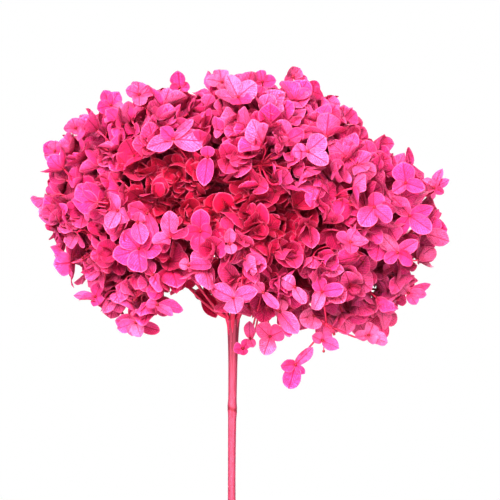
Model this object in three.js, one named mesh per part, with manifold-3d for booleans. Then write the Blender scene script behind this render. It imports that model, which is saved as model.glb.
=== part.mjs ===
// A cut hydrangea head on its stem, standing in a plain clear glass jar.
// Millimetres, +Z up. The origin is the middle of the jar's foot, and the flower's front faces -Y.
//
// The stem stands on the jar's floor against its rim. At the fork it divides into rays, each ray
// divides into branches, and each branch carries a cyme: a stalk with florets on pedicels.
// A floret is four broad coloured sepals round a small heart.
import * as THREE from "three";
import { mergeVertices } from "three/addons/utils/BufferGeometryUtils.js";
import Module from "manifold-3d";

const wasm = await Module();
wasm.setup();

// ---- Driving dimensions -------------------------------------------------------------------------
const GAP = 0.3; // between pieces that touch

const JAR = {
  height: 150,
  radius: 42,
  wall: 2.8,
  floor: 6,
  neckRadius: 29.5,
  lipRadius: 32,
  footRound: 4,
  shoulderBelowRim: 22,
  sides: 32,
};

const STEM = {
  radius: 2.3,
  nodeRadius: 2.8,
  nodeBelowFork: 52,
  headRadius: 5.6,
  forkHeight: 262,
  sides: 8,
};

const HEAD = {
  halfWidth: 106, // to the hearts of the outermost florets
  halfDepth: 90,
  halfHeight: 71,
  aboveFork: 61,
  besideStem: 4.2,
};

// Where the head swells or sinks: the direction from its centre, the share of its reach, and how far
// round the swelling spreads, in degrees.
const LOBES = [
  { towards: [-0.92, 0, 0.39], share: 0.1, spread: 22 },
  { towards: [0.79, -0.1, -0.61], share: 0.14, spread: 26 },
  { towards: [0.99, -0.05, 0.14], share: 0.12, spread: 11 },
  { towards: [0.82, 0, 0.57], share: -0.19, spread: 14 },
  { towards: [0.36, -0.1, 0.93], share: 0.15, spread: 11 },
  { towards: [-0.1, -0.78, 0.6], share: 0.12, spread: 20 },
  { towards: [-0.45, -0.84, 0.22], share: -0.34, spread: 13 },
  { towards: [-0.12, -0.95, 0.2], share: -0.3, spread: 11 },
  { towards: [0.34, -0.94, -0.02], share: -0.34, spread: 13 },
  { towards: [-0.62, -0.7, -0.3], share: -0.12, spread: 12 },
];

// Arcs of cymes round the head, in degrees: down from the crown, where the arc starts, how far it
// sweeps, and how many it holds.
const ARCS = [
  { down: 13, start: 40, sweep: 360, count: 3 },
  { down: 37, start: 10, sweep: 360, count: 7 },
  { down: 61, start: -12, sweep: 360, count: 10 },
  { down: 84, start: 8, sweep: 360, count: 12 },
  { down: 106, start: -8, sweep: 360, count: 9 },
  { down: 129, start: -74, sweep: 150, count: 4 },
  { down: 128, start: 150, sweep: 96, count: 3 },
];
const SCATTER = { down: 4, round: 5 };

const CYME = { ring: 18, rise: 5, drop: 6, stagger: 2.8, lean: 0.5, hub: 1.1, hubDepth: 21, stalk: 10 };
const FLORET = { sepal: 15.5, cup: 0.3, thickness: 1.1, notch: 0.26, halfSweep: 25, pedicel: 0.7 };
const RAY = { count: 6, radius: 1.6, knuckle: 2.6, partingShare: 0.48, seat: 3.7, bend: 1.2, sides: 5 };
const BRANCH = { radius: 1.3, sides: 3 };
const CROWN_ANGLE = 30; // the middle ray's share of the head, down from the crown

// A loose cyme that hangs below the head's right-hand rim on long pedicels, from the head's centre:
// its hub, and its florets in the order of a hub block's faces.
const LOOSE = {
  hub: [35, -42, -62],
  axis: [0, -0.5, -0.87],
  level: [1, 0, 0],
  florets: [
    { at: [49, -47, -74], facing: [0.35, -0.9, 0.2], size: 11 },
    { at: [22, -58, -66], facing: [-0.3, -0.9, 0.3], size: 12 },
    { at: [13, -44, -77], facing: [-0.3, -0.95, -0.1], size: 12 },
    null,
    { at: [30, -50, -91], facing: [0.05, -0.99, -0.1], size: 13.5 },
  ],
};

const stemX = JAR.neckRadius - JAR.wall - STEM.radius - GAP; // against the rim, on the +X side
const fork = new THREE.Vector3(stemX, 0, STEM.forkHeight);
const headCentre = fork.clone().add(new THREE.Vector3(HEAD.besideStem, 0, HEAD.aboveFork));

// ---- Materials ----------------------------------------------------------------------------------
const sepalMaterial = new THREE.MeshStandardMaterial({
  name: "sepal",
  color: 0xf9449c,
  roughness: 0.7,
  metalness: 0,
  flatShading: true,
});
const stalkMaterial = new THREE.MeshStandardMaterial({
  name: "stalk",
  color: 0xcf5079,
  roughness: 0.65,
  metalness: 0,
});
const glassMaterial = new THREE.MeshStandardMaterial({
  name: "glass",
  color: 0xeaf3f2,
  roughness: 0.05,
  metalness: 0,
  transparent: true,
  opacity: 0.35,
});

// ---- Small helpers ------------------------------------------------------------------------------
const vec = (v) => new THREE.Vector3(...v);
const radians = THREE.MathUtils.degToRad;
const degrees = THREE.MathUtils.radToDeg;
const GOLDEN = 0.6180339887;
const SILVER = 0.4142135624;

// The n-th number of an even scatter between -1 and 1.
function scatter(n, step) {
  const share = (n + 1) * step;
  return 2 * (share - Math.floor(share)) - 1;
}

// A point that lies some way from a middle along three axes.
function offset(middle, x, y, z, [a, b, c]) {
  return middle.clone().addScaledVector(x, a).addScaledVector(y, b).addScaledVector(z, c);
}

// A closed three.js geometry as a manifold-3d solid.
function solidOf(geometry) {
  geometry.deleteAttribute("normal");
  geometry.deleteAttribute("uv");
  const merged = mergeVertices(geometry, 1e-4);
  return new wasm.Manifold(
    new wasm.Mesh({
      numProp: 3,
      vertProperties: merged.attributes.position.array,
      triVerts: new Uint32Array(merged.index.array),
    }),
  );
}

// The solid's largest body as a named mesh.
function meshOf(name, solid, material) {
  const body = solid.decompose().sort((a, b) => b.volume() - a.volume())[0];
  const made = body.getMesh();
  const points = new Float32Array(made.numVert * 3);
  for (let i = 0; i < made.numVert; i++) {
    const at = i * made.numProp;
    points.set(made.vertProperties.subarray(at, at + 3), i * 3);
  }
  const geometry = new THREE.BufferGeometry();
  geometry.setAttribute("position", new THREE.BufferAttribute(points, 3));
  geometry.setIndex(new THREE.BufferAttribute(made.triVerts, 1));
  geometry.computeVertexNormals();
  const mesh = new THREE.Mesh(geometry, material);
  mesh.name = name;
  return mesh;
}

// A straight rod from one point to another.
function rod(from, to, radius, sides) {
  const along = to.clone().sub(from);
  const geometry = new THREE.CylinderGeometry(radius, radius, along.length(), sides);
  const upright = new THREE.Vector3(0, 1, 0);
  geometry.applyQuaternion(new THREE.Quaternion().setFromUnitVectors(upright, along.normalize()));
  geometry.translate(...from.clone().lerp(to, 0.5).toArray());
  return solidOf(geometry);
}

// A small swelling where stalks part.
function knuckle(middle, radius) {
  const geometry = new THREE.OctahedronGeometry(radius, 0);
  geometry.translate(...middle.toArray());
  return solidOf(geometry);
}

// ---- The head's shape ---------------------------------------------------------------------------
// How far the florets' hearts stand from the head's centre in a direction: an ellipsoid with lobes.
function reach(direction) {
  const { halfWidth, halfDepth, halfHeight } = HEAD;
  const ellipsoid =
    1 / Math.hypot(direction.x / halfWidth, direction.y / halfDepth, direction.z / halfHeight);
  let share = 1;
  for (const lobe of LOBES) {
    const away = degrees(direction.angleTo(vec(lobe.towards)));
    share += lobe.share * Math.exp(-((away / lobe.spread) ** 2));
  }
  return ellipsoid * share;
}

// Each cyme's middle, the axes that its florets are laid out on, its hub and its stalk's foot. z faces
// outwards, square to the ellipsoid.
function layCyme(direction, turn) {
  const z = new THREE.Vector3(
    direction.x / HEAD.halfWidth ** 2,
    direction.y / HEAD.halfDepth ** 2,
    direction.z / HEAD.halfHeight ** 2,
  ).normalize();
  const level = Math.abs(z.z) > 0.95 ? new THREE.Vector3(1, 0, 0) : new THREE.Vector3(0, 0, 1);
  const x = new THREE.Vector3().crossVectors(level, z).normalize().applyAxisAngle(z, turn);
  const y = new THREE.Vector3().crossVectors(z, x);
  const middle = headCentre.clone().addScaledVector(direction, reach(direction));
  const hub = middle.clone().addScaledVector(z, -CYME.hubDepth);
  const inwards = fork.clone().sub(hub).normalize().lerp(z.clone().negate(), 0.5).normalize();
  const base = hub.clone().addScaledVector(inwards, CYME.stalk);
  return { direction, middle, x, y, z, hub, base };
}

function layCymes() {
  const cymes = [];
  for (const arc of ARCS) {
    for (let k = 0; k < arc.count; k++) {
      const n = cymes.length;
      const down = radians(arc.down + SCATTER.down * scatter(n, GOLDEN));
      const round = radians(arc.start + (arc.sweep * k) / arc.count + SCATTER.round * scatter(n, SILVER));
      const direction = new THREE.Vector3().setFromSphericalCoords(1, down, round);
      // Spherical coordinates go round +Y from +Z, so turn them to go round +Z from +X.
      direction.set(direction.z, direction.x, direction.y);
      const cyme = layCyme(direction, Math.PI * scatter(n, GOLDEN));
      cyme.florets = layFlorets(cyme, n);
      cymes.push(cyme);
    }
  }
  return cymes;
}

// The loose cyme, with its places set by hand.
function layLooseCyme() {
  const z = vec(LOOSE.axis).normalize();
  const x = vec(LOOSE.level);
  const y = new THREE.Vector3().crossVectors(z, x);
  const hub = headCentre.clone().add(vec(LOOSE.hub));
  const base = hub.clone().addScaledVector(fork.clone().sub(hub).normalize(), CYME.stalk);
  const florets = LOOSE.florets.map(
    (place) =>
      place && {
        centre: headCentre.clone().add(vec(place.at)),
        facing: vec(place.facing).normalize(),
        along: z,
        roll: 45,
        size: place.size,
        cup: 0.25,
      },
  );
  return { direction: vec(LOOSE.hub).normalize(), middle: hub, x, y, z, hub, base, florets };
}

// ---- Florets ------------------------------------------------------------------------------------
// The places of a cyme's florets: a ring of four that lean outwards, turn and turn about lower and
// higher so that their sepals pass over each other, and one in the middle that stands proud.
function layFlorets({ middle, x, y, z }, index) {
  const directionAt = (angle) => {
    const round = radians(angle);
    return x.clone().multiplyScalar(Math.cos(round)).addScaledVector(y, Math.sin(round));
  };
  const ring = [0, 1, 2, 3].map((k) => {
    const n = 4 * index + k;
    const outwards = directionAt(90 * k + 8 * scatter(n, GOLDEN));
    const away = CYME.ring * (1 + 0.08 * scatter(n, SILVER));
    const rise = -CYME.drop + (k % 2 === 0 ? -CYME.stagger : CYME.stagger);
    const lean = CYME.lean + 0.1 * scatter(n, SILVER);
    return {
      centre: middle.clone().addScaledVector(outwards, away).addScaledVector(z, rise),
      facing: z.clone().addScaledVector(outwards, lean).normalize(),
      along: outwards,
      roll: 45 + 12 * scatter(n, GOLDEN),
      size: FLORET.sepal * (1 + 0.09 * scatter(n, SILVER)),
      cup: FLORET.cup * (1 + 0.45 * scatter(n, GOLDEN)),
    };
  });
  const proud = {
    centre: middle.clone().addScaledVector(z, CYME.rise),
    facing: z.clone().addScaledVector(directionAt(180 * scatter(index, SILVER)), 0.1).normalize(),
    along: directionAt(0),
    roll: 12 * scatter(index, GOLDEN),
    size: FLORET.sepal,
    cup: FLORET.cup * (1 + 0.3 * scatter(index, GOLDEN)),
  };
  return [...ring, proud];
}

// The six faces of a hub block, as corner numbers: +x, +y, -x and -y carry the ring's pedicels, +z the
// middle one, and -z the stalk. A corner's number is 1 for +x, plus 2 for +y, plus 4 for +z.
const HUB_FACES = [
  [1, 3, 7, 5],
  [2, 6, 7, 3],
  [0, 4, 6, 2],
  [0, 1, 5, 4],
  [4, 5, 7, 6],
  [0, 2, 3, 1],
];

// A closed mesh that grows by points and faces: a hub block, tubes of four sides, caps and florets.
class Growth {
  points = [];
  faces = [];

  add(points) {
    const start = this.points.length;
    this.points.push(...points);
    return points.map((_, i) => start + i);
  }

  // Four points of a square round a middle, one of them towards `first`.
  square(middle, direction, first, radius) {
    const x = first.clone().projectOnPlane(direction).normalize();
    const y = new THREE.Vector3().crossVectors(direction, x);
    const corners = [
      [radius, 0],
      [0, radius],
      [-radius, 0],
      [0, -radius],
    ];
    return this.add(corners.map(([a, b]) => offset(middle, x, y, direction, [a, b, 0])));
  }

  // The sides of a tube between two squares, each counter-clockwise as seen from beyond the far end.
  // The far one is turned to start nearest to the near one's first corner, so that the tube isn't wrung.
  tube(near, far) {
    const ends = [near, far].map((square) => square.map((i) => this.points[i]));
    const start = ends[0][0].clone().sub(ends[0][2]);
    const fits = ends[1].map((point) => point.clone().sub(ends[1][0]).dot(start));
    const first = fits.indexOf(Math.max(...fits));
    for (let i = 0; i < 4; i++) {
      const next = (i + 1) % 4;
      const [farThis, farNext] = [far[(first + i) % 4], far[(first + next) % 4]];
      this.faces.push([near[i], near[next], farNext], [near[i], farNext, farThis]);
    }
  }

  cap([a, b, c, d]) {
    this.faces.push([a, b, c], [a, c, d]);
  }

  // A stalk from one face of the hub to its cut end.
  stalk(face, end, radius) {
    const from = face.map((i) => this.points[i]);
    const direction = end.clone().sub(from[0].clone().lerp(from[2], 0.5)).normalize();
    const square = this.square(end, direction, from[0].clone().sub(from[2]), radius);
    this.tube(face, square);
    this.cap(square);
  }

  // A floret: a thin star of four sepals, thickest at its heart, on a pedicel from one face of the
  // hub. Each sepal has a notch before it and two shoulders, and its back meets the pedicel's square.
  floret(face, { centre, facing, along, roll, size, cup }) {
    const x = along.clone().projectOnPlane(facing).normalize().applyAxisAngle(facing, radians(roll));
    const y = new THREE.Vector3().crossVectors(facing, x);
    const { notch, halfSweep, thickness, pedicel } = FLORET;
    const at = (away, angle, rise) => {
      const [a, b] = [Math.cos(radians(angle)), Math.sin(radians(angle))];
      return offset(centre, x, y, facing, [size * away * a, size * away * b, size * rise]);
    };
    const [heart] = this.add([at(0, 0, thickness / 2 / size)]);
    const rim = [0, 90, 180, 270].map((middle) =>
      this.add([
        at(notch, middle - 45, 0.05),
        at(1, middle - halfSweep, cup),
        at(1, middle + halfSweep, cup),
      ]),
    );
    const notchward = x.clone().applyAxisAngle(facing, radians(-45));
    const back = this.square(at(0, 0, -thickness / 2 / size), facing, notchward, pedicel);
    rim.forEach(([dip, near, far], k) => {
      const next = (k + 1) % 4;
      const [inner, nextInner, nextDip] = [back[k], back[next], rim[next][0]];
      this.faces.push([heart, dip, near], [heart, near, far], [heart, far, nextDip]);
      this.faces.push([inner, near, dip], [inner, nextInner, near]);
      this.faces.push([nextInner, far, near], [nextInner, nextDip, far]);
    });
    this.tube(face, back);
  }

  solid() {
    const numbers = this.points.flatMap((point) => point.toArray());
    const geometry = new THREE.BufferGeometry();
    geometry.setAttribute("position", new THREE.Float32BufferAttribute(numbers, 3));
    geometry.setIndex(this.faces.flat());
    return solidOf(geometry);
  }
}

// A cyme: a hub block whose faces grow into its florets' pedicels and the stalk below.
function cymeSolid({ x, y, z, hub, base, florets }) {
  const growth = new Growth();
  const side = (positive) => (positive ? CYME.hub : -CYME.hub);
  const corners = [0, 1, 2, 3, 4, 5, 6, 7].map((corner) =>
    offset(hub, x, y, z, [side(corner & 1), side(corner & 2), side(corner & 4)]),
  );
  growth.add(corners);
  florets.forEach((place, k) =>
    place ? growth.floret(HUB_FACES[k], place) : growth.cap(HUB_FACES[k]),
  );
  const foot = base.clone().lerp(hub, GAP / base.distanceTo(hub));
  growth.stalk(HUB_FACES[5], foot, BRANCH.radius);
  return growth.solid();
}

// ---- Rays and branches --------------------------------------------------------------------------
// Which ray carries a cyme: the last one, in the middle, takes the crown, and the others a sector each.
function rayOf({ direction }) {
  if (direction.z > Math.cos(radians(CROWN_ANGLE))) return RAY.count;
  const round = Math.atan2(direction.y, direction.x) / (2 * Math.PI);
  return Math.floor((round + 1) * RAY.count) % RAY.count;
}

// A ray from its seat on the stem's head to its parting, and a branch from there to each of its cymes.
// `clearance` thickens it all round, to cut room for it.
function raySolid(number, cymes, clearance = 0) {
  const round = (2 * Math.PI * (number + 0.5)) / RAY.count;
  const away = number === RAY.count ? 0 : RAY.seat;
  const seat = fork.clone().add(vec([away * Math.cos(round), away * Math.sin(round), GAP]));
  const bend = seat.clone().add(vec([0, 0, RAY.bend]));
  const mean = new THREE.Vector3();
  for (const cyme of cymes) mean.addScaledVector(cyme.base, 1 / cymes.length);
  const parting = seat.clone().lerp(mean, RAY.partingShare);
  const radius = RAY.radius + clearance;
  let solid = rod(seat, bend, radius, RAY.sides).add(rod(bend, parting, radius, RAY.sides));
  for (const cyme of cymes) {
    solid = solid.add(rod(parting, cyme.base, BRANCH.radius + clearance, BRANCH.sides));
  }
  return solid.add(knuckle(parting, RAY.knuckle + clearance));
}

// ---- Stem ---------------------------------------------------------------------------------------
// The stem: straight from its cut foot, swollen at the node, and flared below the fork.
function stemSolid() {
  const { radius, nodeRadius, nodeBelowFork, headRadius, forkHeight, sides } = STEM;
  const foot = JAR.floor + GAP;
  const node = forkHeight - nodeBelowFork;
  const profile = [
    [0, foot],
    [radius, foot],
    [radius, node - 5],
    [nodeRadius, node - 1],
    [nodeRadius, node + 1],
    [radius, node + 5],
    [radius * 1.15, forkHeight - 22],
    [headRadius * 0.8, forkHeight - 6],
    [headRadius, forkHeight],
    [0, forkHeight],
  ].map(([x, y]) => new THREE.Vector2(x, y));
  const geometry = new THREE.LatheGeometry(profile, sides);
  geometry.rotateX(Math.PI / 2);
  geometry.translate(stemX, 0, 0);
  return solidOf(geometry);
}

// ---- Jar ----------------------------------------------------------------------------------------
// A blown jar: flat foot, straight side, round shoulder, short neck and a rolled lip.
function jarSolid() {
  const { height, radius, wall, floor, neckRadius, lipRadius, footRound, shoulderBelowRim, sides } = JAR;
  const shoulder = radius - neckRadius;
  const shoulderTop = height - shoulderBelowRim;
  const outside = new THREE.Path();
  outside.moveTo(radius - footRound, 0);
  outside.quadraticCurveTo(radius, 0, radius, footRound);
  outside.lineTo(radius, shoulderTop - shoulder);
  outside.quadraticCurveTo(radius, shoulderTop, neckRadius, shoulderTop + 4);
  outside.lineTo(neckRadius, height - 8);
  outside.quadraticCurveTo(lipRadius, height - 7, lipRadius, height - 3.5);
  outside.quadraticCurveTo(lipRadius, height, neckRadius - wall / 2, height);
  const inside = new THREE.Path();
  inside.moveTo(neckRadius - wall, height - 1.5);
  inside.lineTo(neckRadius - wall, shoulderTop + 3);
  inside.quadraticCurveTo(radius - wall, shoulderTop - 2, radius - wall, shoulderTop - shoulder - 1);
  inside.lineTo(radius - wall, floor + footRound);
  inside.quadraticCurveTo(radius - wall, floor, radius - wall - footRound, floor);
  const profile = [
    new THREE.Vector2(0, 0),
    ...outside.getPoints(3),
    ...inside.getPoints(3),
    new THREE.Vector2(0, floor),
  ];
  const geometry = new THREE.LatheGeometry(profile, sides);
  geometry.rotateX(Math.PI / 2);
  return solidOf(geometry);
}

// ---- Assembly -----------------------------------------------------------------------------------
// Two cymes that reach into each other are both cut along the plane midway between them.
function partNeighbours(sprays) {
  sprays.forEach((a, i) => {
    for (const b of sprays.slice(i + 1)) {
      if (a.solid.intersect(b.solid).isEmpty()) continue;
      const normal = b.middle.clone().sub(a.middle).normalize();
      const plane = normal.dot(a.middle.clone().lerp(b.middle, 0.5));
      a.solid = a.solid.trimByPlane(normal.clone().negate().toArray(), -plane + GAP / 2);
      b.solid = b.solid.trimByPlane(normal.toArray(), plane + GAP / 2);
    }
  });
}

const cymes = [...layCymes(), layLooseCyme()];
const sprays = cymes.map((cyme) => ({ middle: cyme.middle, solid: cymeSolid(cyme) }));
partNeighbours(sprays);

const rays = [];
for (let number = 0; number <= RAY.count; number++) {
  const carried = cymes.filter((cyme) => rayOf(cyme) === number);
  const ray = raySolid(number, carried);
  for (const spray of sprays) {
    if (ray.intersect(spray.solid).isEmpty()) continue;
    spray.solid = spray.solid.subtract(raySolid(number, carried, GAP));
  }
  rays.push(ray);
}

const hydrangea = new THREE.Group();
hydrangea.add(meshOf("jar", jarSolid(), glassMaterial));
hydrangea.add(meshOf("stem", stemSolid(), stalkMaterial));
rays.forEach((solid, i) => hydrangea.add(meshOf(`ray_${i + 1}`, solid, stalkMaterial)));
sprays.forEach(({ solid }, i) =>
  hydrangea.add(meshOf(`cyme_${String(i + 1).padStart(2, "0")}`, solid, sepalMaterial)),
);

export default hydrangea;
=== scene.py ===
"""A dyed and dried hydrangea head on its cut stem, standing in a plain glass jar.

The jar, stem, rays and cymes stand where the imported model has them, but for the loose cyme, which
hangs 13 mm further right. This script gives them their fine shape: veined sepals bent as thin shells,
curved pedicels, a ridged stem and clear glass.
"""

import math

import bpy
import numpy as np
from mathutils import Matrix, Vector


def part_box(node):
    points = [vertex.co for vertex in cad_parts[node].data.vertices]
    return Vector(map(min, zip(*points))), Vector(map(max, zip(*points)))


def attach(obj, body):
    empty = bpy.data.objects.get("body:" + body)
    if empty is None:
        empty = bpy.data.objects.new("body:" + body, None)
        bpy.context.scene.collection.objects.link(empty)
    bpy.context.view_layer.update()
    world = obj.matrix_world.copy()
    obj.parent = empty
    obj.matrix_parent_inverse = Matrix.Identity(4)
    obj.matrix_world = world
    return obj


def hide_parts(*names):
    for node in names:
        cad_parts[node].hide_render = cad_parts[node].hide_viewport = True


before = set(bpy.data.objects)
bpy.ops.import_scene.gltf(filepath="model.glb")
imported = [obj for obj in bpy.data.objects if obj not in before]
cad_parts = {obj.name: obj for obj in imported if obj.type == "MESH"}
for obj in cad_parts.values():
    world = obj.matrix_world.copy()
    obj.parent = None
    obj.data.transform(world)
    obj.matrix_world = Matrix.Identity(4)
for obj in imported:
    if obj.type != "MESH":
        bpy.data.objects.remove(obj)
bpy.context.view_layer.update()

MM = 0.001
SEED = 11
ACROSS = np.array([1.0, 0.0, 0.0])

# ---- The frame's own sizes ----
stem_low, stem_high = (np.array(corner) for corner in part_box("stem"))
jar_low, jar_high = (np.array(corner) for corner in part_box("jar"))
FORK = np.array([(stem_low[0] + stem_high[0]) / 2, 0.0, stem_high[2]])
STEM_FOOT = stem_low[2]
STEM_HEAD = (stem_high[0] - stem_low[0]) / 2
JAR_RADIUS = (jar_high[0] - jar_low[0]) / 2
JAR_HEIGHT = jar_high[2]
HEAD_CENTRE = FORK + np.array([4.2, 0.0, 61.0]) * MM
# The same in millimetres, in which the cymes and florets are laid.
HEAD_AT = HEAD_CENTRE / MM
FORK_AT = FORK / MM

# The head's half axes in millimetres, and its lobes: which way each lies, the share of the radius that
# it adds and its spread in degrees.
HALF_AXES = np.array([106.0, 90.0, 71.0])
LOBES = [
    ((-0.92, 0.0, 0.39), 0.10, 22),
    ((0.79, -0.1, -0.61), 0.14, 26),
    ((0.99, -0.05, 0.14), 0.12, 11),
    ((0.82, 0.0, 0.57), -0.19, 14),
    ((0.36, -0.1, 0.93), 0.15, 11),
    ((-0.1, -0.78, 0.6), 0.12, 20),
    ((-0.45, -0.84, 0.22), -0.34, 13),
    ((-0.12, -0.95, 0.2), -0.30, 11),
    ((0.34, -0.94, -0.02), -0.34, 13),
    ((-0.62, -0.7, -0.3), -0.12, 12),
]
# Hollows in the front of the head: which way each lies, the share of the radius it takes, its spread,
# and below the arcs the least share of its distance that a point keeps.
HOLLOWS = [
    ((-0.68, -0.66, 0.28), 0.26, 12),
    ((-0.43, -0.86, 0.24), 0.34, 14),
    ((-0.10, -0.97, 0.20), 0.28, 12),
    ((0.32, -0.95, -0.03), 0.22, 14),
]
# The arcs of cymes: the angle down from the top, the angle where each starts, its sweep and its count.
ARCS = [
    (13, 40, 360, 3),
    (37, 10, 360, 7),
    (61, -12, 360, 10),
    (84, 8, 360, 12),
    (106, -8, 360, 9),
    (129, -74, 150, 4),
    (128, 150, 96, 3),
]
LEAST_PRESS = 0.45
# A cyme: its ring of florets, its hub's depth, its stalk's length and its sepals' length.
RING = {"away": 18.0, "rise": 5.0, "drop": 6.0, "stagger": 2.8, "lean": 0.5}
HUB_DEPTH = 21.0
STALK = 10.0
SEPAL = 13.4
# The steps of the even scatters, and the turn from one filling floret to the next.
GOLDEN = 0.6180339887
SILVER = 0.4142135624
LEAF_TURN = 137.5
FILLING = 8
# How much the florets' facings differ, how deep an open floret is sunk, in lengths of its sepals, and
# what a shut one adds.
FACING_SCATTER = 0.8
SUNK_OPEN = 0.25
SUNK_SHUT = 0.5

# The loose cyme below the rim, from the head's centre: its hub and axis.
LOOSE_HUB = (48, -43, -61)
LOOSE_AXIS = (0, -0.5, -0.87)

# Florets that stand out from the rest. Each has its heart, from the head's centre, and its sepals as
# (angle from level, length, width). A sepal under 5 mm wide is wrung so that its edge shows.
STANDOUTS = [
    # the one before the stem's head, and the loose ones that hang beside it
    ((-3, -72, -45), [(5, 14, 9), (-73, 11, 12.3), (150, 12.7, 10)]),
    ((17, -44, -68), [(25, 8, 10.5), (-108, 12.5, 9.5), (140, 9.5, 9)]),
    ((31, -50, -83), [(48, 13.3, 7.5), (175, 8.7, 7), (-105, 13.8, 10), (-42, 6.5, 5)]),
    ((46, -46, -70), [(92, 10.5, 8), (165, 6.5, 7), (30, 6.5, 6), (-30, 9.5, 7.5)]),
    ((-20, 13, -48), [(178, 7, 7.5), (-66, 14.5, 9), (60, 8, 7)]),
    ((2, -26, -76), [(190, 5, 7), (-80, 4.5, 5), (50, 6, 5.5)]),
    ((6, -30, -70), [(-70, 5, 5.5), (90, 9, 6)]),
    # along the front's lower edge
    ((22, -61, -53), [(-55, 15, 9.5), (80, 6.5, 7.5), (-70, 14.5, 8)]),
    ((41, -50, -56), [(190, 9.5, 12), (-110, 7.5, 9)]),
    ((45, -66, -42), [(-115, 10.5, 8), (8, 12, 8), (110, 8, 8)]),
    ((30, -72, -39), [(-65, 12, 7), (150, 8, 8)]),
    ((13, -74, -42), [(-50, 12.3, 5.5), (130, 7, 6)]),
    ((-27, -82, -27), [(8, 13, 6.5), (170, 5, 6)]),
    ((-47, -60, -33), [(122, 13, 4), (-57, 12, 4)]),
    ((-45, -53, -50), [(-8, 14, 7.5), (-45, 12, 5.5), (170, 6, 6)]),
    ((-57, -20, -63), [(-15, 13, 7.5), (165, 15, 9.5), (60, 6, 7)]),
    # the front left
    ((-50, -65, 1), [(150, 10.5, 10.5), (-55, 14.5, 8.5), (190, 11, 4)]),
    ((-37, -79, -12), [(95, 14.5, 9.5), (42, 12.4, 4), (200, 10, 4)]),
    ((-66, -64, 2), [(-115, 10.4, 9.5), (125, 11, 4), (-40, 8, 4)]),
    ((-55, -69, -4), [(-80, 12, 9), (80, 6, 8)]),
    ((-5, -87, -15), [(90, 9, 6.5), (-80, 6, 6.5)]),
    # over the hollow
    ((-17, -66, 31), [(-95, 15, 10), (85, 6, 8)]),
    ((-36, -59, 41), [(-5, 17, 12.5), (45, 15, 5.5), (200, 14, 9), (140, 9, 8)]),
    ((37, -74, 34), [(40, 12.5, 11), (-35, 12.5, 9.5), (180, 8, 8)]),
    # the right lobe
    ((92, -43, 17), [(95, 11, 12.6), (-20, 11.5, 9), (215, 8, 8)]),
    ((73, -68, 4), [(235, 12.5, 11), (105, 9, 11), (-40, 11.5, 9.5)]),
    ((94, -47, -1), [(128, 15, 10), (22, 16, 7.5), (235, 12.6, 9), (-28, 16, 10.5)]),
    ((87, -52, -21), [(130, 13.7, 10), (-8, 15.5, 9), (35, 13, 8), (215, 9, 7)]),
    ((60, -72, -15), [(175, 9.5, 8), (5, 9, 6), (-95, 8.5, 8), (75, 8, 8)]),
    ((111, -5, 14), [(20, 10, 5.5), (60, 11, 6), (-30, 9, 5), (150, 8, 8)]),
    ((95, -25, -45), [(25, 13, 5), (-10, 10, 6), (-60, 8, 7), (140, 8, 8)]),
    ((72, -35, -68), [(-20, 11, 8), (-80, 7, 7), (200, 9, 7), (70, 8, 8)]),
    # the lower left
    ((-58, -30, -61), [(200, 11, 8), (-60, 9, 8), (-110, 8, 7), (60, 8, 8)]),
    ((-81, -25, -47), [(172, 12, 5.5), (200, 9, 4), (-60, 7, 7), (60, 8, 8)]),
    # along the crest and the left edge
    ((-73, -12, 61), [(120, 9, 8), (60, 8, 8), (200, 8, 8), (-30, 9, 8)]),
    ((-57, -12, 67), [(95, 8.5, 9), (170, 8, 8), (20, 8, 8), (-90, 8, 8)]),
    ((-34, -12, 71), [(90, 9, 10), (190, 6, 6), (0, 6, 6)]),
    ((-10, -12, 74), [(100, 8, 9), (170, 9, 7), (10, 9, 7), (-90, 6, 7)]),
    ((13, -12, 74), [(100, 7, 8), (0, 8, 7), (190, 8, 7)]),
    ((30, -12, 77), [(110, 6.5, 8), (60, 6.5, 8), (-15, 9, 6), (200, 6, 7)]),
    ((40, -12, 69), [(60, 8, 8), (120, 7, 8), (-10, 9, 8), (-100, 8, 8)]),
    ((-93, -10, 48), [(110, 6, 8), (30, 7, 7), (190, 7, 6), (-60, 7, 7)]),
    ((-105, -8, 35), [(150, 7, 9), (80, 6, 8), (-130, 7, 8), (-20, 6, 7)]),
]
LINING_FLORETS = 22
STANDOUT_ROOM = 9.5
STANDOUT_FACING = (0.0, -0.97, 0.22)

# The gap in the underside, as circles seen from the front: the middle from the head's centre, across
# and up, the radius, and how far back the gap goes.
GAPS = [((-29, -51), 17, 100), ((-16, -50), 13, 6)]


# ---- Small helpers ----
def unit(v):
    """Vectors scaled to length one, along the last axis."""
    v = np.asarray(v, float)
    return v / np.linalg.norm(v, axis=-1, keepdims=True)


def scatter(n, step):
    """The n-th number of an even scatter between -1 and 1: twice the fraction of n + 1 steps, less 1."""
    return 2 * (((n + 1) * step) % 1.0) - 1


def turned(v, axis, angle):
    """v, which is square to the axis, turned about it: v cos + (axis x v) sin."""
    return v * math.cos(angle) + np.cross(axis, v) * math.sin(angle)


def square_to(v, axis):
    """The part of v that is square to the axis, at length one."""
    return unit(v - axis * np.dot(v, axis))


# ---- Layout: where the cymes and florets are ----
def nearness(direction, towards, spread):
    """exp(-(angle/spread)^2), with the angle between two directions in degrees."""
    away = math.degrees(math.acos(np.clip(np.dot(direction, unit(towards)), -1, 1)))
    return math.exp(-((away / spread) ** 2))


def reach(direction):
    """The ellipsoid's radius in a direction, times 1 plus each lobe's share x exp(-(angle/spread)^2)."""
    ellipsoid = 1 / np.linalg.norm(direction / HALF_AXES)
    share = 1.0
    for towards, part, spread in LOBES:
        share += part * nearness(direction, towards, spread)
    return ellipsoid * share


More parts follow.
